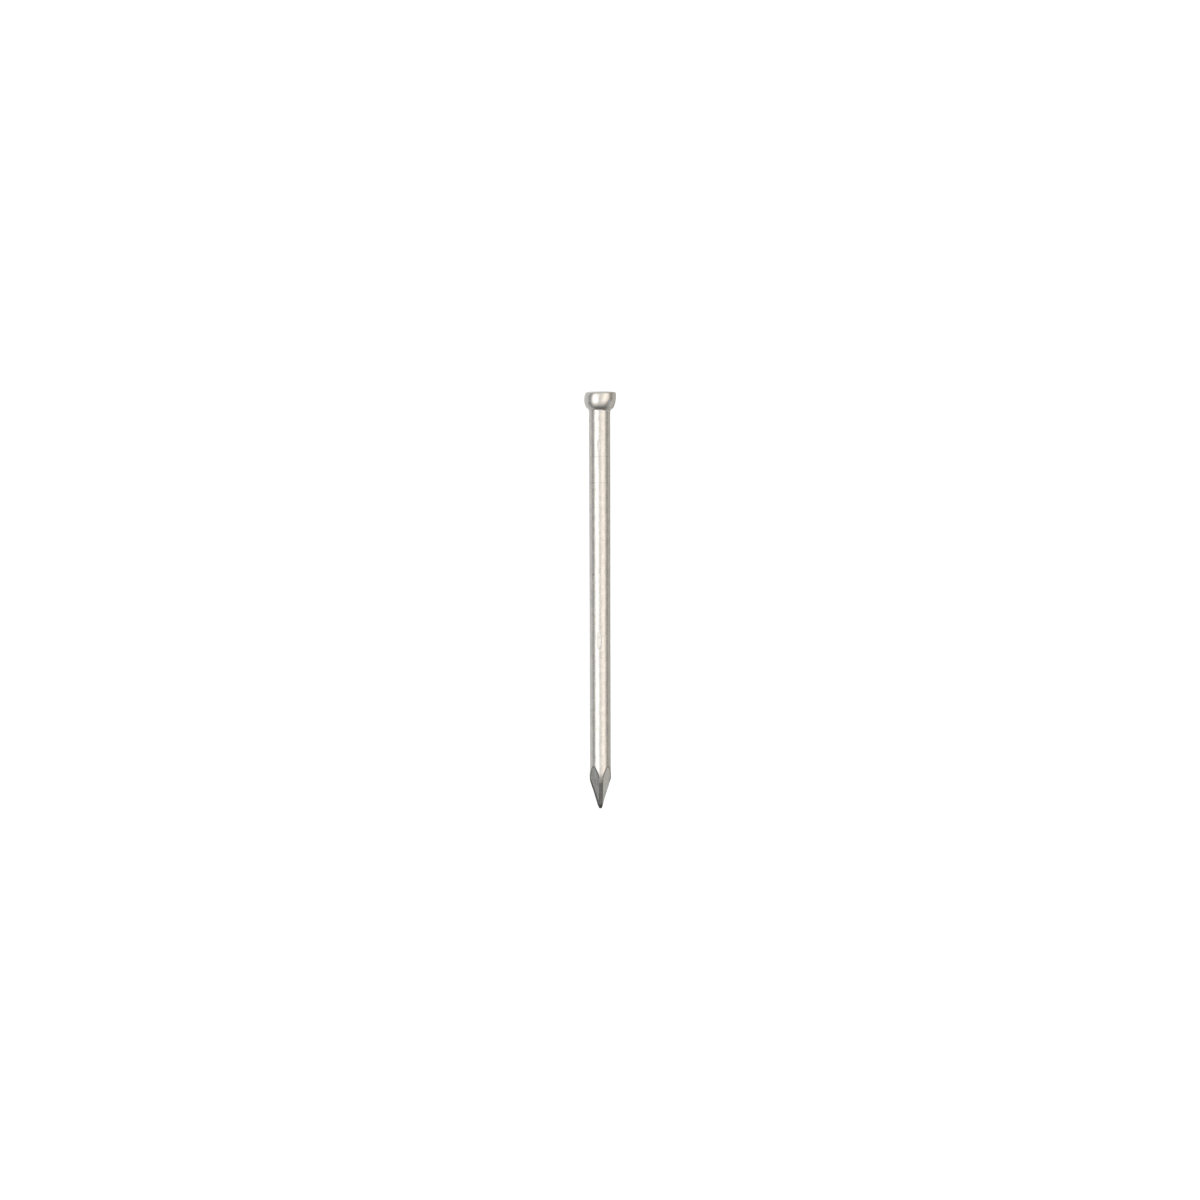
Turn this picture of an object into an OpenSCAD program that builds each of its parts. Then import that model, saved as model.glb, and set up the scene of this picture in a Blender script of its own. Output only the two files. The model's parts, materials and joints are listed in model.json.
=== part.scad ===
// Round lost-head wire nail, made from one length of drawn wire.
// +Z points from the tip up to the head, and the origin is the centre of the
// flat face that the hammer strikes, so the whole nail lies below z = 0.

/* [Nail] */
// Length from the struck face to the tip
nail_l = 75; // [40:1:100]
// Diameter of the wire, and so of the plain shank
shank_d = 3.75; // [2.5:0.05:4.2]

/* [Head] */
// Diameter of the head
head_d = 5.66; // [5.4:0.02:7]
// Depth of the whole head, from the struck face to where the neck has run out into the shank
head_h = 3.85; // [3.6:0.05:6]
// Depth of the upright side, from the struck face to where the underside starts to round in
side_h = 1.5; // [1:0.05:2]
// Radius that rounds the rim of the struck face
rim_r = 0.45; // [0.1:0.05:0.8]
// Radius of the hollow neck between the underside and the shank
neck_r = 1.2; // [0.6:0.05:1.4]
// Angle that the neck's arc turns through before it meets the underside
neck_sweep = 52; // [35:1:60]

/* [Point] */
// Angle between each of the four pinched facets and the nail's axis
facet_angle = 12.85; // [9:0.05:20]
// Width of the blunt tip, measured across two opposite ridges
tip_w = 0.3; // [0.1:0.02:0.6]
// Width of the narrow flat along each ridge between two facets
ridge_w = 0.12; // [0.04:0.02:0.3]

/* [Hidden] */
$fn = 96;

head_r = head_d / 2;
shank_r = shank_d / 2;
neck_x = shank_r + neck_r;

// The underside is an arc that leaves the side upright and ends at the lip, where the neck starts.
// Its radius is kept to a whole thousandth, so that the side stays exactly tangent to it.
lip_dx = head_r - neck_x + neck_r * cos(neck_sweep);
lip_dz = head_h - side_h - neck_r * sin(neck_sweep);
under_r = round(1000 * (pow(lip_dx, 2) + pow(lip_dz, 2)) / (2 * lip_dx)) / 1000;

// The cut that shapes the underside starts just inside the lip, where the neck's cut covers its edge
inside_lip = neck_sweep - 3;
under_cut_x = neck_x - neck_r * cos(inside_lip);

// Four facets meet in pairs at four ridges, which slant more than the facets do
facets = 4;
facet_turn = 360 / facets;
corner = 1 / cos(facet_turn / 2);
ridge_angle = atan(corner * tan(facet_angle));
tip_ridge_r = tip_w / 2;
tip_facet_r = (tip_ridge_r + ridge_w / 2) / corner;

// Each cut is a block that reaches well past the point on every side
cut_l = nail_l;
cut_w = 4 * shank_d;

// Outline of the wire with a square-edged head, before its corners are cut to their curves
module stepped_outline() {
    polygon([
        [0, 0], [head_r, 0], [head_r, -head_h],
        [shank_r, -head_h], [shank_r, -nail_l], [0, -nail_l]
    ]);
}

// What is outside the rounded rim
module rim_cut_outline() {
    difference() {
        translate([head_r - rim_r, -rim_r]) square(2 * rim_r);
        translate([head_r - rim_r, -rim_r]) circle(r = rim_r);
    }
}

// What is outside the rounded underside
module underside_cut_outline() {
    difference() {
        translate([under_cut_x, -side_h - head_h]) square([head_d, head_h]);
        translate([head_r - under_r, -side_h]) circle(r = under_r);
    }
}

// What is outside the hollow neck
module neck_cut_outline() {
    translate([neck_x, -head_h]) circle(r = neck_r);
}

// The wire with its head formed, before the point is pinched
module headed_wire() {
    rotate_extrude()
        difference() {
            stepped_outline();
            rim_cut_outline();
            underside_cut_outline();
            neck_cut_outline();
        }
}

// Everything outside one slanting plane, which passes tip_r from the axis at the tip
module slanting_cut(turn, tip_r, angle) {
    rotate([0, 0, turn])
        translate([tip_r, 0, -nail_l])
            rotate([0, angle, 0])
                translate([0, -cut_w / 2, -cut_l / 2])
                    cube([cut_w, cut_w, cut_l]);
}

// The metal pinched away: four facets, and a narrow flat where each pair of them meets
module point_cuts() {
    for (i = [0 : facets - 1]) {
        slanting_cut((i + 0.5) * facet_turn, tip_facet_r, facet_angle);
        slanting_cut(i * facet_turn, tip_ridge_r, ridge_angle);
    }
}

// The whole nail: one piece of wire
module nail() {
    color([0.72, 0.71, 0.68])
        difference() {
            headed_wire();
            point_cuts();
        }
}

nail();
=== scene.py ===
"""A round lost-head wire nail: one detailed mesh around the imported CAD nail, in soft studio light.

Lengths are in metres in Blender. The mesh is worked out in millimetres and scaled once, at the end.
A turn is an angle round the nail, from its front ridge (-Y) towards +X.
"""

import json
import math

import bpy
import numpy as np
from mathutils import Matrix, Vector


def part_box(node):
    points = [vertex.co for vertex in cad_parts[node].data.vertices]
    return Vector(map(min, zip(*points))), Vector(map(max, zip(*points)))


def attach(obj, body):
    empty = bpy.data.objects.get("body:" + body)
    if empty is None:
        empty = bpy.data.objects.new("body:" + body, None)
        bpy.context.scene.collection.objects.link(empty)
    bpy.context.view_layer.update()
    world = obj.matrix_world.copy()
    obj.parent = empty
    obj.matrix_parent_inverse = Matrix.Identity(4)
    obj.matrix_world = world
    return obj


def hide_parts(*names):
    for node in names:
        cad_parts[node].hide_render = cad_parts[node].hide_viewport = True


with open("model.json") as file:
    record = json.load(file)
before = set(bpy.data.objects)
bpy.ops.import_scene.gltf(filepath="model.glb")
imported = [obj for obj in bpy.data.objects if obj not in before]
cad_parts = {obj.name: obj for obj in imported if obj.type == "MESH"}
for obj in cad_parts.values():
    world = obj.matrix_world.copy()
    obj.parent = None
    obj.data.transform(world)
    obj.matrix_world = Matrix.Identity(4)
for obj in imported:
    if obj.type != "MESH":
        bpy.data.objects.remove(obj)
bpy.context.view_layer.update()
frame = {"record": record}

MM = 0.001

# Driving sizes, from the frame
MOUNTS = {mount["name"]: mount for mount in frame["record"]["mounts"]}
NAIL_LOW, NAIL_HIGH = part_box("nail")
NAIL_L = (NAIL_HIGH.z - NAIL_LOW.z) / MM
HEAD_R = MOUNTS["head_seat"]["dims"]["r_mm"]
NECK_END = MOUNTS["head_seat"]["pos_m"][2] / MM
SHANK_R = MOUNTS["shank"]["dims"]["r_mm"]

# Head, in mm: a crowned face with a round rim, a side that bulges to its widest height, and a round bowl
RIM_R = 0.45
CROWN = 0.05
SIDE_SLOPE = math.radians(13)
WIDEST = -1.22
BOWL_R = 3.56

# Neck, in mm: the hollow from the bowl's lip down to where it has run out into the shank
NECK_R = 0.62
NECK_RUN_OUT = 0.245
NECK_SWEEP = math.radians(70)

# How the head departs from a turned one, in mm; the lip's tilt is in mm per mm
LEAN = 0.25
LEAN_FADE = 1.3
LIP_TILT = 0.025
RIM_DROOP = 0.08
RIM_CRISP = 0.07
CRISP_AT = -0.18
CRISP_HALF_H = 0.14
SIDE_DENT = 0.004
FACE_DENT = 0.012

# How far from round the head and the shank are: number of lobes, their size in mm, and their phase
HEAD_LOBES = ((3, 0.007, 2.0), (5, 0.004, 1.1), (2, -0.04, 0.0))
SHANK_LOBES = ((2, 0.004, 2.4), (3, 0.003, 0.4))

# Shank, in mm: drawn a little fat under the head and a little thin towards the point
FAT = 0.035
THIN = 0.045
THINNING = (-10.0, -48.0)

# Point, in mm: four hollow facets that would meet at the apex, cut short by a blunt, rounded tip
POINT_START = -66.2
FACET_ANGLE = math.radians(12.85)
APEX = -75.47
HOLLOW_R = 8.0
FACET_OUT = 0.02
BLUNT = 0.07
BLUNTING = (-73.2, -74.8)
CAP = 0.06

# Its ridges, in mm: a flat land at the front and the back, and keen, finned and flared ones at the sides
LAND = 0.14
KEEN = 0.03
FIN_HALF_W = 0.13
FIN_RAGGED = 0.02
FLARE_AT = -69.0
FLARE_HALF_L = 0.8

# Where the wire meets the facets, in mm: how softly at the sides and at the lands, and the groove there
SHARP_BLEND = 0.015
SOFT_BLEND = 0.42
GROOVE_DEPTH = 0.022

# Rough surface of the point, in mm: torn metal on the lands, and the die's print on the facets
STRIP_SHIFT = 0.03
TORN_DEPTH = 0.022
PRINT_DEPTH = 0.008

# Dark marks on the point, in mm: painted shade on the tip and along a seam beside the front land, and a
# nick on the right painted dark as shade
TIP_SHADING = (-73.9, -74.6)
SEAM_X = -0.50
SEAM_HALF_W = 0.13
SEAM_SHADE = 0.7
NICK_W = 0.40

# Turns of the mesh's columns and of the point's four ridges, in radians
COLUMNS = 216
TURN = np.arange(COLUMNS) * 2 * math.pi / COLUMNS
FRONT, RIGHT, BACK, LEFT = (i * math.pi / 2 for i in range(4))

# What the dies squeezed out where the side ridges begin: turn, size in mm and spread in radians
FLARES = ((LEFT, 0.085, 0.25), (RIGHT, 0.03, 0.3))
# And along them: turn, size in mm and the seed of its raggedness
FINS = ((LEFT, 0.13, 24), (RIGHT, 0.03, 25))

# Camera, in metres, with its sensor in mm: VIEW_HEIGHT is how much of the nail's plane the picture shows
VIEW_TURN = math.radians(-3.5)
VIEW_DISTANCE = 0.67
VIEW_HEIGHT = 0.21604
VIEW_ROLL = math.radians(0.141)
SENSOR = 36.0
FLOOR_Z = -0.5


def ease(start, end, x):
    """0 before start, 1 after end, smooth between them. Start may be above end."""
    t = np.clip((np.asarray(x, float) - start) / (end - start), 0, 1)
    return t * t * (3 - 2 * t)


def from_turn(turn):
    """How far each column is from a turn, in radians, from -pi to pi."""
    return (TURN - turn + math.pi) % (2 * math.pi) - math.pi


def lobed(lobes):
    """How far each column stands out of round, in mm."""
    return sum(size * np.cos(count * TURN + phase) for count, size, phase in lobes)


def lattice_noise(u, v, seed):
    """Smooth noise from -1 to 1 with features one unit across, at the points (u, v)."""
    side = 64
    table = np.random.default_rng(seed).uniform(-1, 1, (side, side))
    i = np.floor(u).astype(int)
    j = np.floor(v).astype(int)
    s = ease(0, 1, u - i)
    t = ease(0, 1, v - j)
    low = table[i % side, j % side] * (1 - s) + table[(i + 1) % side, j % side] * s
    high = table[i % side, (j + 1) % side] * (1 - s) + table[(i + 1) % side, (j + 1) % side] * s
    return low * (1 - t) + high * t


def arc(centre, radius, start, end, count):
    """Points (r, z) on an arc of the outline, from one angle to another, both kept."""
    angle = np.linspace(start, end, count)
    return np.stack([centre[0] + radius * np.cos(angle), centre[1] + radius * np.sin(angle)], 1)


def rounded(start, corner, end, count):
    """Points (r, z) round a corner, as a quadratic curve between the points before and after it."""
    t = np.linspace(0, 1, count)[:, None]
    return (1 - t) ** 2 * start + 2 * t * (1 - t) * corner + t**2 * end


def head_outline():
    """The head's outline (r, z) from the middle of the struck face down to the end of the neck."""
    rim_z = -CROWN - RIM_R
    side_round = (rim_z - WIDEST) / math.sin(SIDE_SLOPE) + RIM_R
    side_centre = (HEAD_R - side_round, WIDEST)
    rim_x = side_centre[0] + (side_round - RIM_R) * math.cos(SIDE_SLOPE)
    rim = arc((rim_x, rim_z), RIM_R, math.pi / 2, SIDE_SLOPE, 9)
    face_r = np.linspace(0, rim[0, 0], 12)[1:-1]
    face = np.stack([face_r, -CROWN * (face_r / rim[0, 0]) ** 2], 1)
    side = arc(side_centre, side_round, SIDE_SLOPE, 0, 8)[1:]

    neck_x = SHANK_R + FAT + NECK_R
    neck = arc((neck_x, NECK_END + NECK_RUN_OUT), NECK_R, math.pi - NECK_SWEEP, math.pi, 18)
    bowl_centre = np.array([HEAD_R - BOWL_R, WIDEST])
    reach = math.hypot(*(neck[0] - bowl_centre))
    lip_angle = math.atan2(neck[0, 1] - WIDEST, neck[0, 0] - bowl_centre[0])
    bowl = arc(bowl_centre, BOWL_R, 0, lip_angle, 16)[1:]
    corner = bowl_centre + (BOWL_R + reach) / 2 * np.array([math.cos(lip_angle), math.sin(lip_angle)])
    lip = rounded(bowl[-2], corner, neck[1], 7)
    return np.concatenate([face, rim, side, bowl[:-2], lip, neck[2:]])


def head_rows():
    """Radius and height of the head's rows: the outline, upset a little to the +X side and uneven."""
    outline = head_outline()
    r = np.repeat(outline[:, :1], COLUMNS, 1)
    level = np.repeat(outline[:, 1:], COLUMNS, 1)
    lean = LEAN * np.exp(level / LEAN_FADE) * ease(0, 1.5, r)
    on_side = ease(1.5, 2.5, r) * ease(NECK_END, -3.0, level)
    dents = SIDE_DENT * lattice_noise(TURN / 0.35 + 0 * level, level / 0.8, 11)
    r = r + lean * np.sin(TURN) + (lobed(HEAD_LOBES) + dents) * on_side

    across = r * np.sin(TURN)
    z = level - LIP_TILT * across * ease(-1.8, -2.8, level) * ease(NECK_END, -3.3, level)
    z = z - RIM_DROOP * ease(1.4, 3.0, across) * ease(-1.2, -0.3, z)
    crisp = RIM_CRISP * ease(1.6, 2.6, across) * np.exp(-(((level - CRISP_AT) / CRISP_HALF_H) ** 2))
    r = r + crisp
    z = z + crisp
    face_dents = lattice_noise(r * np.sin(TURN) / 1.1 + 9, r * np.cos(TURN) / 1.1 + 9, 12) - 1
    return r, z + FACE_DENT * face_dents * ease(-0.2, -0.05, z)


def wire_radius(z):
    """The drawn wire's mean radius at a height."""
    return SHANK_R + FAT - THIN * ease(*THINNING, z)


def shank_radius(z):
    """The wire's radius with its lobes, which start below the neck."""
    return wire_radius(z) + lobed(SHANK_LOBES) * ease(NECK_END, NECK_END - 3, z)


# Flats left by knocks and by the dies that gripped the wire: turn in degrees, height, half length, depth
BRUISES = (
    (-9.0, -44.75, 1.6, 0.046),
    (-8.5, -9.9, 1.15, 0.024),
)
# Faint grooves round the wire, where the dies ended: height, half width and depth
GROOVES = (
    (-11.72, 0.07, 0.011),
    (-16.45, 0.07, 0.012),
)
# A rust pit: turn in degrees, height, half width and depth
PIT = (-43.0, -32.95, 0.14, 0.03)
# How dark the painted shade in the grooves and along the bruises' upper edges is, from 0 to 1
GROOVE_SHADE = 0.28
EDGE_SHADE = 0.5


def marked(r, z):
    """The radius r with the shank's marks cut into it, how dark each vertex is painted, as shade in the
    grooves and along the bruises' edges and as the rust pit's own dark, and how worn it is.
    """
    painted_shade = np.zeros_like(r)
    worn = np.zeros_like(r)
    for turn, height, half_l, depth in BRUISES:
        away = np.cos(TURN - math.radians(turn))
        flat = wire_radius(height) - depth * (1 - ((z - height) / half_l) ** 2)
        flat = flat / np.maximum(away, 0.9)
        cut = np.where(away > 0.9, r - flat, -1.0)
        # Painted shade: each flat's rim is coloured darker, as if shade fell along it
        edge = np.exp(-(((cut - 0.003) / 0.008) ** 2)) * ease(0.012, 0.04, depth)
        painted_shade = np.maximum(painted_shade, EDGE_SHADE * edge * ease(height + half_l, height + 0.8 * half_l, z))
        worn = np.maximum(worn, ease(0, 0.008, cut))
        r = r - np.maximum(cut, 0)
    for height, half_width, depth in GROOVES:
        # Painted shade: each groove is coloured darker, as if shade fell in it
        groove = np.exp(-(((z - height) / half_width) ** 2))
        painted_shade = np.maximum(painted_shade, GROOVE_SHADE * groove)
        r = r - depth * groove
    turn, height, half_width, depth = PIT
    off = np.hypot(SHANK_R * from_turn(math.radians(turn)), z - height) / half_width
    pit = np.exp(-(off**2))
    return r - depth * pit, np.maximum(painted_shade, pit), worn


# Gaps between the shank's rows, in mm: next to the neck, in plain stretches, at the bruises, and the least
NECK_GAP = 0.3
PLAIN_GAP = 0.32
BRUISE_GAP = 0.11
LEAST_GAP = 0.025


def shank_levels():
    """Heights of the shank's rows, closer together where its marks are."""
    levels = [np.arange(NECK_END - NECK_GAP, POINT_START, -PLAIN_GAP)]
    for _, height, half_l, _ in BRUISES:
        levels.append(np.arange(height + half_l + 0.2, height - half_l - 0.2, -BRUISE_GAP))
    for height, half_width, _ in GROOVES:
        levels.append(height + half_width * np.linspace(-2, 2, 9))
    levels.append(PIT[1] + PIT[2] * np.linspace(-2, 2, 11))
    levels = np.sort(np.concatenate(levels))[::-1]
    apart = np.concatenate([[True], -np.diff(levels) > LEAST_GAP])
    return levels[apart]


def shank_rows():
    """Radius and height of the shank's rows, and the marks on them."""
    z = np.repeat(shank_levels()[:, None], COLUMNS, 1)
    r, painted_shade, worn = marked(shank_radius(z), z)
    return r, z, {"rust_and_shade": painted_shade, "worn": worn}


def near_ridge(turn):
    """Which columns are nearer to this ridge than to the others."""
    return np.abs(from_turn(turn)) <= math.pi / 4


def point_section(z):
    """The pinched point's radius: four slightly hollow facets, with a land along each ridge."""
    facet = (z - APEX) * math.tan(FACET_ANGLE) + BLUNT * ease(*BLUNTING, z)
    off_facet = TURN % (math.pi / 2) - math.pi / 4
    hollow = facet + FACET_OUT + (facet * np.tan(off_facet)) ** 2 / (2 * HOLLOW_R)
    off_ridge = (TURN + math.pi / 4) % (math.pi / 2) - math.pi / 4
    corner = math.sqrt(2) * facet
    pinched = near_ridge(FRONT) | near_ridge(BACK)
    land = np.where(pinched, np.minimum(LAND, 0.45 * corner), np.minimum(KEEN, 0.2 * corner))
    return np.minimum(hollow / np.cos(off_facet), (corner - land) / np.cos(off_ridge))


def flared_wire(z):
    """The wire's radius beside the point, with the metal that the dies squeezed out at the side ridges."""
    along = np.exp(-(((z - FLARE_AT) / FLARE_HALF_L) ** 2))
    flares = sum(size * np.exp(-((from_turn(turn) / spread) ** 2)) for turn, size, spread in FLARES)
    return shank_radius(z) + flares * along


LOWEST_CREASE = -72.0
HALVINGS = 30


def crease_heights():
    """Height in each column at which the round wire meets the pinched point, by halving."""
    high = np.full(COLUMNS, POINT_START)
    low = np.full(COLUMNS, LOWEST_CREASE)
    for _ in range(HALVINGS):
        middle = (high + low) / 2
        inside = point_section(middle) > flared_wire(middle)
        high = np.where(inside, middle, high)
        low = np.where(inside, low, middle)
    return high


FAR = 9.0


def across_ridge(r, turn):
    """Distance in mm across the side ridge at this turn, in the columns near it, and far elsewhere."""
    return np.where(near_ridge(turn), r * np.sin(from_turn(turn)), FAR)


# Rows on each side of the crease, by their distance from it in mm, and the even rows beyond those
NEAR = np.array([0.02, 0.05, 0.1, 0.18, 0.3, 0.45, 0.65])[:, None]
ROWS_ABOVE = 8
ROWS_BELOW = 45
CREASE_ROW = ROWS_ABOVE + len(NEAR)


def point_levels(crease):
    """Heights of the point's rows, crowded round the crease."""
    above = np.linspace(POINT_START, crease + NEAR[-1], ROWS_ABOVE + 1)[:-1]
    below = np.linspace(crease - NEAR[-1], -NAIL_L + CAP, ROWS_BELOW + 1)[1:]
    return np.concatenate([above, crease + NEAR[::-1], crease[None], crease - NEAR, below])


# How far each column is from the front or the back land, in radians
OFF_LAND = np.minimum(np.abs(from_turn(FRONT)), np.abs(from_turn(BACK)))


def pinched_radius(z, from_crease):
    """The radius where the wire becomes the point: soft corners at the lands, sharp grooves elsewhere."""
    wire = flared_wire(z)
    section = point_section(z)
    blend = SHARP_BLEND + SOFT_BLEND * ease(0.30, 0.10, OFF_LAND)
    overlap = np.maximum(blend - np.abs(wire - section), 0) / blend
    r = np.minimum(wire, section) - overlap**2 * blend / 4
    in_groove = ease(0, 0.04, from_crease) * ease(0.25, 0.06, from_crease) * ease(0.16, 0.3, OFF_LAND)
    return r - GROOVE_DEPTH * in_groove


def add_fins(r, z, beyond):
    """The radius with the ragged fins that the dies squeezed out along the side ridges."""
    fade = ease(0.1, 0.5, beyond) * ease(-74.9, -74.2, z)
    for turn, size, seed in FINS:
        aside = across_ridge(r, turn)
        ragged = FIN_RAGGED * lattice_noise(z / 0.4, aside / 0.1, seed)
        r = r + (size + ragged) * np.exp(-((aside / FIN_HALF_W) ** 2)) * fade
    return r


def roughen(r, z, across, beyond, torn):
    """The radius with the torn metal of the lands and the faint print of the dies."""
    coarse = lattice_noise(across / 0.17 + 20, z / 0.3, 21)
    fine = lattice_noise(across / 0.09 + 20, z / 0.16, 22)
    r = r + TORN_DEPTH * torn * (coarse + 0.6 * fine) * ease(0.3, 0.9, r)
    uneven = lattice_noise(TURN / 0.3 + 0 * z, z / 1.3, 23)
    return r + PRINT_DEPTH * uneven * ease(0.1, 0.6, beyond) * ease(0.3, 1.0, r)


def marks_on_point(r, z, across, beyond, from_crease, torn):
    """Painted shade where the facets begin, torn metal along the ridges painted dark as shade, and deeper
    painted shade on the tip.
    """
    # Torn metal along the side ridges and a nick on the right: rough, and painted dark as shade
    torn_left = ease(0.34, 0.22, np.abs(across_ridge(r, LEFT))) * ease(-1.9, -0.3, beyond)
    nick = NICK_W * ease(-71.2, -69.5, z)
    torn_right = ease(0, 0.12, nick - np.abs(across_ridge(r, RIGHT))) * ease(-0.1, 0.15, beyond)
    # Deeper painted shade on the tip, which faces down, and half as much along the left side ridge
    deep_shade = np.maximum(ease(*TIP_SHADING, z), 0.5 * torn_left)

    # Painted shade round the crease, next to the front and back lands
    land_shade = ease(-0.8, 0.8, beyond) * ease(2.4, 1.2, beyond) * ease(0.30, 0.15, OFF_LAND)
    # Painted shade along a line just left of the front land
    seam_shade = SEAM_SHADE * np.exp(-(((across - SEAM_X) / SEAM_HALF_W) ** 2)) * near_ridge(FRONT)
    seam_shade = seam_shade * ease(-68.8, -69.4, z) * ease(-71.4, -70.6, z)
    # Painted shade just below the crease, along the tops of the facets
    reach = 0.20 + 0.16 * ease(0.8, 0.3, OFF_LAND)
    crease_shade = ease(-0.08, 0.0, from_crease) * ease(reach, reach - 0.14, from_crease)
    crease_shade = crease_shade * ease(0.02, 0.10, OFF_LAND)
    return {
        "rust_and_shade": np.maximum.reduce([land_shade, seam_shade, crease_shade, deep_shade]),
        "torn_and_shade": np.maximum.reduce([torn, torn_left, torn_right]),
        "deep_shade": deep_shade,
    }


def point_rows():
    """Radius and height of the point's rows, and the marks on them."""
    crease = crease_heights()
    z = point_levels(crease)
    beyond = crease - z
    steepness = (np.roll(crease, -1) - np.roll(crease, 1)) / (2 * SHANK_R * TURN[1])
    from_crease = beyond / np.hypot(1, steepness)
    r = add_fins(pinched_radius(z, from_crease), z, beyond)
    across = r * np.sin(TURN)
    torn = ease(0.41, 0.30, np.abs(across - STRIP_SHIFT * near_ridge(FRONT))) * ease(0.4, 1.6, beyond)
    r = roughen(r, z, across, beyond, torn)
    return r, z, marks_on_point(r, z, across, beyond, from_crease, torn)


def cap_rows(edge_r):
    """Radius and height of the rows that round off the blunt tip."""
    angle = np.linspace(0, math.pi / 2, 9)[1:-1, None]
    r = edge_r * np.cos(angle)
    z = -NAIL_L + CAP * (1 - np.sin(angle)) + 0 * r
    return r, z


# Marks that each vertex carries for the materials, from 0 to 1: the rust pit and painted shade, polish,
# torn metal painted dark as shade, and deeper painted shade on the tip
MARKS = ("rust_and_shade", "worn", "torn_and_shade", "deep_shade")


def nail_rows():
    """All rows of the nail, from the struck face to the tip, and the rows at which head and shank end."""
    head_r, head_z = head_rows()
    shank_r, shank_z, shank_marks = shank_rows()
    point_r, point_z, point_marks = point_rows()
    cap_r, cap_z = cap_rows(point_r[-1])
    # The cap on the tip is painted dark all over, as shade
    cap_marks = {name: np.ones_like(cap_r) for name in ("rust_and_shade", "torn_and_shade", "deep_shade")}
    parts = ((head_r, {}), (shank_r, shank_marks), (point_r, point_marks), (cap_r, cap_marks))
    marks = {name: np.concatenate([given.get(name, 0 * r) for r, given in parts]) for name in MARKS}
    r = np.concatenate([r for r, _ in parts])
    z = np.concatenate([head_z, shank_z, point_z, cap_z])
    return r, z, marks, len(head_r), len(head_r) + len(shank_r)


def closed_faces(rows):
    """Quads between the rings of vertices, then a fan round the top vertex and a fan round the tip's."""
    index = np.arange(rows * COLUMNS).reshape(rows, COLUMNS)
    after = np.roll(index, -1, 1)
    quads = np.stack([index[:-1], index[1:], after[1:], after[:-1]], 2).reshape(-1, 4)
    top = rows * COLUMNS
    tip = top + 1
    faces = quads.tolist()
    faces += [(top, a, b) for a, b in zip(index[0].tolist(), after[0].tolist())]
    faces += [(tip, b, a) for a, b in zip(index[-1].tolist(), after[-1].tolist())]
    return faces


def face_materials(rows, head_end, shank_end):
    """Each face's material: 0 on the head, 1 on the wire as far as the crease, and 2 on the point."""
    bands = np.zeros(rows - 1, np.int32)
    bands[head_end - 1:] = 1
    bands[shank_end + CREASE_ROW:] = 2
    fans = np.array([0, 2], np.int32)
    return np.repeat(np.concatenate([bands, fans]), COLUMNS)


def build_nail(materials):
    """The nail as one closed mesh: rings of quads, with a fan at the struck face and at the tip."""
    r, z, marks, head_end, shank_end = nail_rows()
    rings = np.stack([r * np.sin(TURN), -r * np.cos(TURN), z], 2).reshape(-1, 3)
    points = np.concatenate([rings, [[0, 0, z[0].mean()], [0, 0, -NAIL_L]]]) * MM
    mesh = bpy.data.meshes.new("wire_nail")
    mesh.from_pydata(points.tolist(), [], closed_faces(len(r)))
    for material in materials:
        mesh.materials.append(material)
    kinds = face_materials(len(r), head_end, shank_end)
    mesh.polygons.foreach_set("material_index", kinds)
    mesh.polygons.foreach_set("use_smooth", np.ones(len(kinds), bool))
    for name, values in marks.items():
        layer = mesh.attributes.new(name, "FLOAT", "POINT")
        ends = [values[0, 0], values[-1, 0]]
        layer.data.foreach_set("value", np.concatenate([values.ravel(), ends]).astype(np.float32))
    mesh.update()
    nail = bpy.data.objects.new("wire_nail", mesh)
    bpy.context.scene.collection.objects.link(nail)
    return nail


class Nodes:
    """A short way to write a shader's node tree."""

    def __init__(self, tree):
        self.tree = tree
        self.tree.nodes.clear()

    def add(self, kind, inputs=None, **settings):
        """A node of this kind with these settings. An input is a value, or another node's output."""
        node = self.tree.nodes.new("ShaderNode" + kind)
        for name, value in settings.items():
            setattr(node, name, value)
        for name, value in (inputs or {}).items():
            if isinstance(value, bpy.types.NodeSocket):
                self.tree.links.new(value, node.inputs[name])
            else:
                node.inputs[name].default_value = value
        return node

    def math(self, operation, a, b=0.0):
        return self.add("Math", {0: a, 1: b}, operation=operation).outputs[0]

    def ease(self, value, start, end, low=0.0, high=1.0):
        """low before start, high after end, smooth between them."""
        ends = {"Value": value, "From Min": start, "From Max": end, "To Min": low, "To Max": high}
        return self.add("MapRange", ends, interpolation_type="SMOOTHSTEP").outputs["Result"]

    def mix(self, factor, a, b):
        """A mix of two colours."""
        node = self.add("Mix", {"Factor": factor}, data_type="RGBA")
        for socket, value in ((node.inputs[6], a), (node.inputs[7], b)):
            if isinstance(value, bpy.types.NodeSocket):
                self.tree.links.new(value, socket)
            else:
                socket.default_value = value
        return node.outputs[2]

    def attribute(self, name):
        return self.add("Attribute", attribute_name=name).outputs["Fac"]


def grain(nodes, size, along=1.0, detail=2.0):
    """Noise on the nail's own coordinates: a grain is size mm wide, and along times as long."""
    place = nodes.add("TexCoord").outputs["Object"]
    scale = 1 / (size * MM)
    placed = nodes.add("Mapping", {"Vector": place, "Scale": (scale, scale, scale / along)})
    noise = nodes.add("TexNoise", {"Vector": placed.outputs[0], "Scale": 1.0, "Detail": detail})
    return noise.outputs[0]


def new_material(name):
    material = bpy.data.materials.new(name)
    material.use_nodes = True
    return material, Nodes(material.node_tree)


def finish_steel(nodes, colour, roughness, bumps, strength=1.0):
    """The shader, of bare metal. Each bump is its height and its depth in mm. Strength scales them all."""
    normal = None
    for height, depth in bumps:
        inputs = {"Height": height, "Strength": strength, "Distance": depth * MM}
        if normal is not None:
            inputs["Normal"] = normal
        normal = nodes.add("Bump", inputs).outputs["Normal"]
    inputs = {"Base Color": colour, "Metallic": 1.0, "Roughness": roughness, "Normal": normal}
    shader = nodes.add("BsdfPrincipled", inputs)
    nodes.add("OutputMaterial", {"Surface": shader.outputs[0]})


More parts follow.
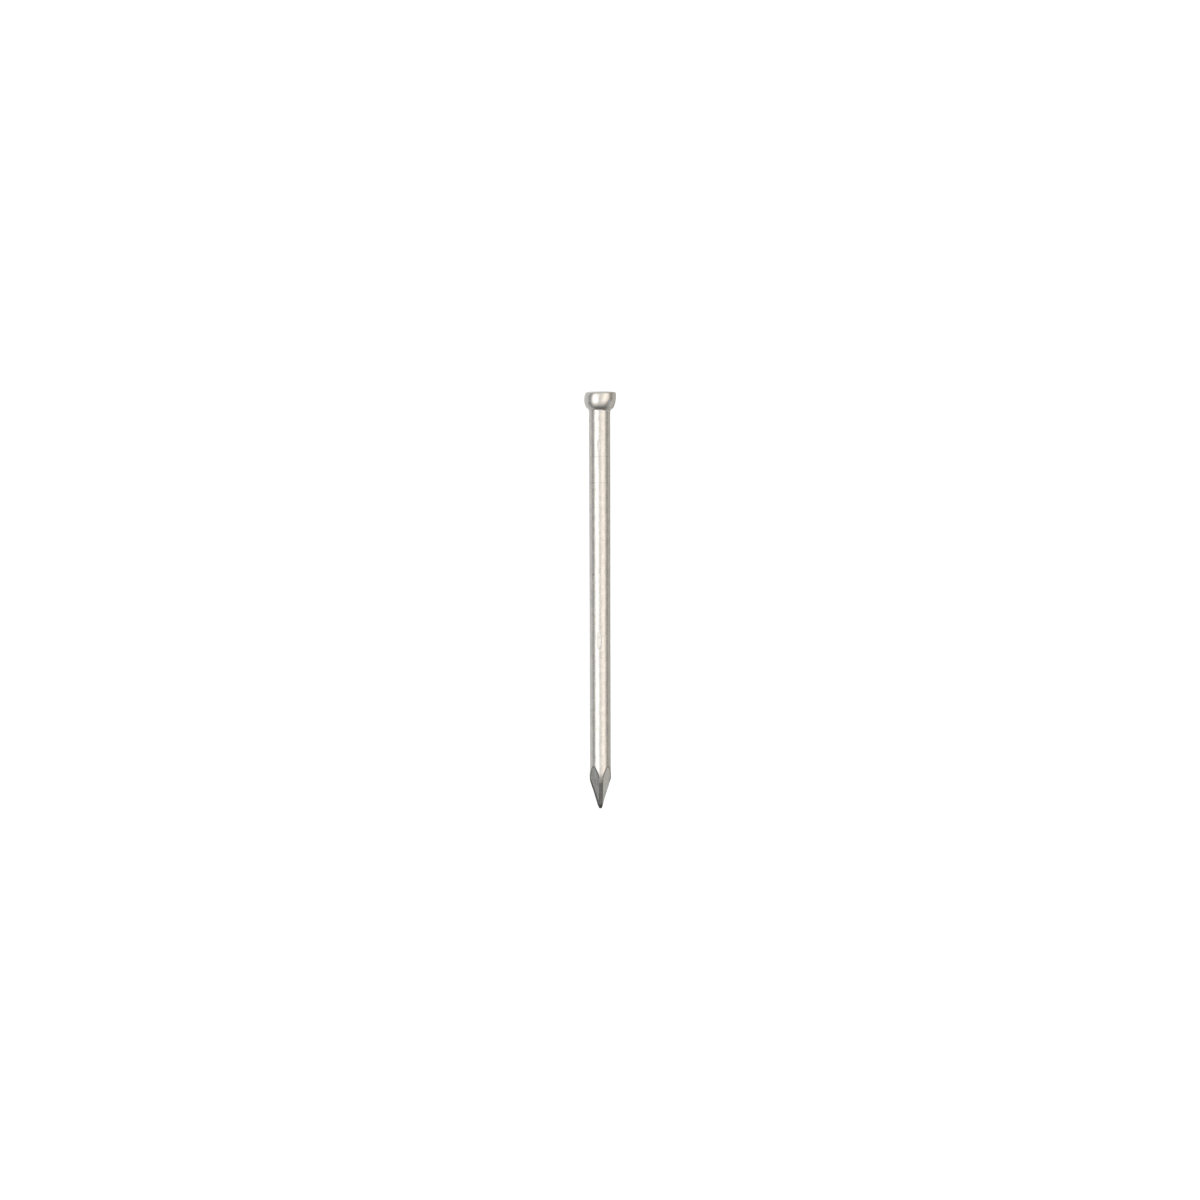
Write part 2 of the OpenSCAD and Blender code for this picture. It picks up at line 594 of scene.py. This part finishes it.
STEEL_LIGHT = (0.655, 0.635, 0.605, 1)
STEEL_DARK = (0.56, 0.545, 0.52, 1)
PIT_DARK = (0.40, 0.39, 0.37, 1)
# Torn metal on the ridges, painted this dark as shade
BURR_AND_SHADE_DARK = (0.20, 0.20, 0.195, 1)
# Deeper painted shade, for the tip
DEEP_SHADE_DARK = (0.075, 0.075, 0.075, 1)
# The dark of the rust pit, and of the painted shade in the grooves, along the bruises' edges, round the
# point's creases and on its tip
RUST_AND_SHADE_DARK = (0.22, 0.215, 0.21, 1)


def drawn_steel():
    """The shank: satin, with long faint draw lines, fine grain and a few small dark pits."""
    material, nodes = new_material("drawn_steel")
    mottle = grain(nodes, 0.6, along=2.0, detail=3.0)
    fine = grain(nodes, 0.16, along=1.4, detail=2.0)
    lines = grain(nodes, 0.12, along=40.0, detail=2.0)
    pits = nodes.ease(grain(nodes, 0.22, along=1.3, detail=1.0), 0.68, 0.76)
    colour = nodes.mix(nodes.ease(mottle, 0.3, 0.7), STEEL_DARK, STEEL_LIGHT)
    colour = nodes.mix(pits, colour, PIT_DARK)
    # Painted shade in the grooves and along the bruises' edges, and the rust pit's own dark
    colour = nodes.mix(nodes.attribute("rust_and_shade"), colour, RUST_AND_SHADE_DARK)
    roughness = nodes.ease(fine, 0.25, 0.75, 0.22, 0.34)
    relief = nodes.ease(nodes.attribute("worn"), 0, 1, 1.0, 0.25)
    finish_steel(nodes, colour, roughness, [(mottle, 0.016), (fine, 0.005), (lines, 0.003)], relief)
    return material


def forged_steel():
    """The head: smoother than the shank, because the die has burnished it."""
    material, nodes = new_material("forged_steel")
    mottle = grain(nodes, 0.7, along=1.2, detail=3.0)
    fine = grain(nodes, 0.14, along=1.5, detail=2.0)
    pits = nodes.ease(grain(nodes, 0.2, detail=1.0), 0.7, 0.78)
    colour = nodes.mix(nodes.ease(mottle, 0.3, 0.7), STEEL_DARK, STEEL_LIGHT)
    colour = nodes.mix(pits, colour, PIT_DARK)
    roughness = nodes.ease(fine, 0.25, 0.75, 0.17, 0.27)
    finish_steel(nodes, colour, roughness, [(mottle, 0.012), (fine, 0.003)])
    return material


def pinched_steel():
    """The point: die-pressed facets, with torn metal along the ridges painted dark as shade, and painted
    shade where they begin.
    """
    material, nodes = new_material("pinched_steel")
    mottle = grain(nodes, 0.5, along=3.0, detail=3.0)
    streaks = grain(nodes, 0.14, along=9.0, detail=2.0)
    torn = grain(nodes, 0.13, along=1.5, detail=3.0)
    ragged = nodes.math("MULTIPLY", nodes.math("SUBTRACT", torn, 0.5), 0.9)
    torn_and_shade = nodes.ease(nodes.math("ADD", nodes.attribute("torn_and_shade"), ragged), 0.3, 0.7)
    colour = nodes.mix(nodes.ease(mottle, 0.3, 0.7), STEEL_DARK, STEEL_LIGHT)
    # Painted shade where the facets begin, beside the front land and on the tip
    colour = nodes.mix(nodes.math("MULTIPLY", nodes.attribute("rust_and_shade"), 0.85), colour, RUST_AND_SHADE_DARK)
    # Deeper painted shade on the tip
    burr_and_shade = nodes.mix(nodes.attribute("deep_shade"), BURR_AND_SHADE_DARK, DEEP_SHADE_DARK)
    # Torn metal along the ridges, painted dark as shade; its roughness and bumps are the metal's own
    colour = nodes.mix(torn_and_shade, colour, burr_and_shade)
    smooth = nodes.ease(streaks, 0.25, 0.75, 0.2, 0.32)
    roughness = nodes.math("ADD", smooth, nodes.math("MULTIPLY", torn_and_shade, 0.3))
    torn_depth = nodes.math("MULTIPLY", torn, torn_and_shade)
    finish_steel(nodes, colour, roughness, [(mottle, 0.012), (streaks, 0.008), (torn_depth, 0.04)])
    return material


# The studio that the metal mirrors, as soft-edged patches of light round the nail, in degrees. Each has a
# name, a colour, the azimuths that it spans from the camera's direction towards its right, how softly it
# ends at each, the elevations that it spans, how softly it ends there, and how far its right edge slants
# in below the horizon, in degrees per degree. A flag or a shade takes light away.
LIGHTS = (
    ("front_fill", (0.62, 0.59, 0.56), (-62, 62), (14, 14), (-42.5, 34), 11, 0.6),
    ("left_box", (1.04, 1.06, 1.06), (-54, -12), (12, 12), (-26, 23), 14, 0.0),
    ("right_box", (0.66, 0.58, 0.48), (15, 69), (13, 17), (-23, 23), 14, 0.95),
    ("left_side", (0.42, 0.42, 0.41), (-150, -92), (12, 12), (-60, 90), 18, 0.0),
    ("right_side", (0.31, 0.29, 0.26), (102, 132), (10, 10), (-60, 90), 18, 0.0),
    ("right_shade", (0.0, -0.012, -0.035), (70, 178), (12, 2), (-88, 88), 2, 0.0),
    ("left_flag", (-0.20, -0.18, -0.15), (-114, -80), (8, 10), (-27, -12), 5, 0.0),
    ("right_sill", (0.22, 0.24, 0.265), (72, 103), (10, 10), (-42, -11), 6, 0.0),
)
# Light that comes from everywhere, what is added to it behind the nail, below and above, with the degrees
# over which each comes in, and the white that only the camera sees
SIDE_LIGHT = 0.42
BACK_LIGHT = 0.42
BACK_EDGE = (138, 165)
LOW_LIGHT = -0.17
LOW_EDGE = (-60, -15)
HIGH_LIGHT = 0.44
HIGH_EDGE = (32, 68)
WHITE = 1.05


def patch(nodes, azimuth, elevation, light):
    """1 inside a light and 0 outside it, with soft edges."""
    (left, right), (soft_left, soft_right), (low, high), soft, slant = light
    below = nodes.math("MAXIMUM", nodes.math("MULTIPLY", elevation, -1.0), 0.0)
    slanted = nodes.math("ADD", azimuth, nodes.math("MULTIPLY", below, slant))
    edges = (
        nodes.ease(azimuth, left - soft_left, left + soft_left),
        nodes.ease(slanted, right - soft_right, right + soft_right, 1.0, 0.0),
        nodes.ease(elevation, low - soft, low + soft),
        nodes.ease(elevation, high - soft, high + soft, 1.0, 0.0),
    )
    inside = edges[0]
    for edge in edges[1:]:
        inside = nodes.math("MULTIPLY", inside, edge)
    return inside


def light_world():
    """The world: white to the camera, and the studio's patches of light to everything that mirrors it."""
    world = bpy.data.worlds.new("studio")
    world.use_nodes = True
    bpy.context.scene.world = world
    nodes = Nodes(world.node_tree)
    direction = nodes.add("TexCoord").outputs["Generated"]
    turned = nodes.add("VectorRotate", {"Vector": direction, "Angle": -VIEW_TURN}, rotation_type="Z_AXIS")
    xyz = nodes.add("SeparateXYZ", {0: turned.outputs[0]})
    toward = nodes.math("MULTIPLY", xyz.outputs["Y"], -1.0)
    azimuth = nodes.math("DEGREES", nodes.math("ARCTAN2", xyz.outputs["X"], toward))
    elevation = nodes.math("DEGREES", nodes.math("ARCSINE", xyz.outputs["Z"]))
    away = nodes.math("ABSOLUTE", azimuth)

    grey = nodes.ease(away, *BACK_EDGE, SIDE_LIGHT, SIDE_LIGHT + BACK_LIGHT)
    grey = nodes.math("ADD", grey, nodes.ease(elevation, *LOW_EDGE, LOW_LIGHT, 0.0))
    grey = nodes.math("ADD", grey, nodes.ease(elevation, *HIGH_EDGE, 0.0, HIGH_LIGHT))
    total = nodes.add("CombineXYZ", {0: grey, 1: grey, 2: grey}).outputs[0]
    for _, colour, *light in LIGHTS:
        inside = patch(nodes, azimuth, elevation, light)
        lit = nodes.add("VectorMath", {0: colour, "Scale": inside}, operation="SCALE")
        total = nodes.add("VectorMath", {0: total, 1: lit.outputs[0]}, operation="ADD").outputs[0]
    studio = nodes.add("Background", {"Color": total})
    white = nodes.add("Background", {"Color": (1, 1, 1, 1), "Strength": WHITE})
    seen = nodes.add("LightPath").outputs["Is Camera Ray"]
    mixed = nodes.add("MixShader", {0: seen, 1: studio.outputs[0], 2: white.outputs[0]})
    nodes.add("OutputWorld", {"Surface": mixed.outputs[0]})


def pale_floor():
    """A plain white floor, well below the nail, that the metal doesn't mirror."""
    radius = 2.0
    sides = 96
    turns = [2 * math.pi * i / sides for i in range(sides)]
    mesh = bpy.data.meshes.new("floor")
    rim = [(radius * math.cos(t), radius * math.sin(t), FLOOR_Z) for t in turns]
    mesh.from_pydata(rim, [], [list(range(sides))])
    floor = bpy.data.objects.new("floor", mesh)
    bpy.context.scene.collection.objects.link(floor)
    material, nodes = new_material("pale_floor")
    inputs = {"Base Color": (0.9, 0.9, 0.9, 1), "Roughness": 0.9}
    inputs.update({"Emission Color": (1, 1, 1, 1), "Emission Strength": 0.5})
    shader = nodes.add("BsdfPrincipled", inputs)
    nodes.add("OutputMaterial", {"Surface": shader.outputs[0]})
    mesh.materials.append(material)
    floor.visible_glossy = False


def add_camera():
    """The camera: level with the nail's middle and turned a little round it."""
    middle = Vector((0, 0, -NAIL_L / 2 * MM))
    back = Vector((math.sin(VIEW_TURN), -math.cos(VIEW_TURN), 0))
    right = Vector((math.cos(VIEW_TURN), math.sin(VIEW_TURN), 0))
    data = bpy.data.cameras.new("camera")
    data.sensor_width = SENSOR
    data.lens = SENSOR * VIEW_DISTANCE / VIEW_HEIGHT
    camera = bpy.data.objects.new("camera", data)
    bpy.context.scene.collection.objects.link(camera)
    upright = Matrix((right, Vector((0, 0, 1)), back)).transposed()
    camera.matrix_world = Matrix.Translation(middle + VIEW_DISTANCE * back) @ (
        upright.to_4x4() @ Matrix.Rotation(-VIEW_ROLL, 4, "Z")
    )
    bpy.context.scene.camera = camera


add_camera()
light_world()
pale_floor()
bpy.context.scene.view_settings.view_transform = "Standard"

nail = build_nail([forged_steel(), drawn_steel(), pinched_steel()])
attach(nail, "root")
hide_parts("nail")
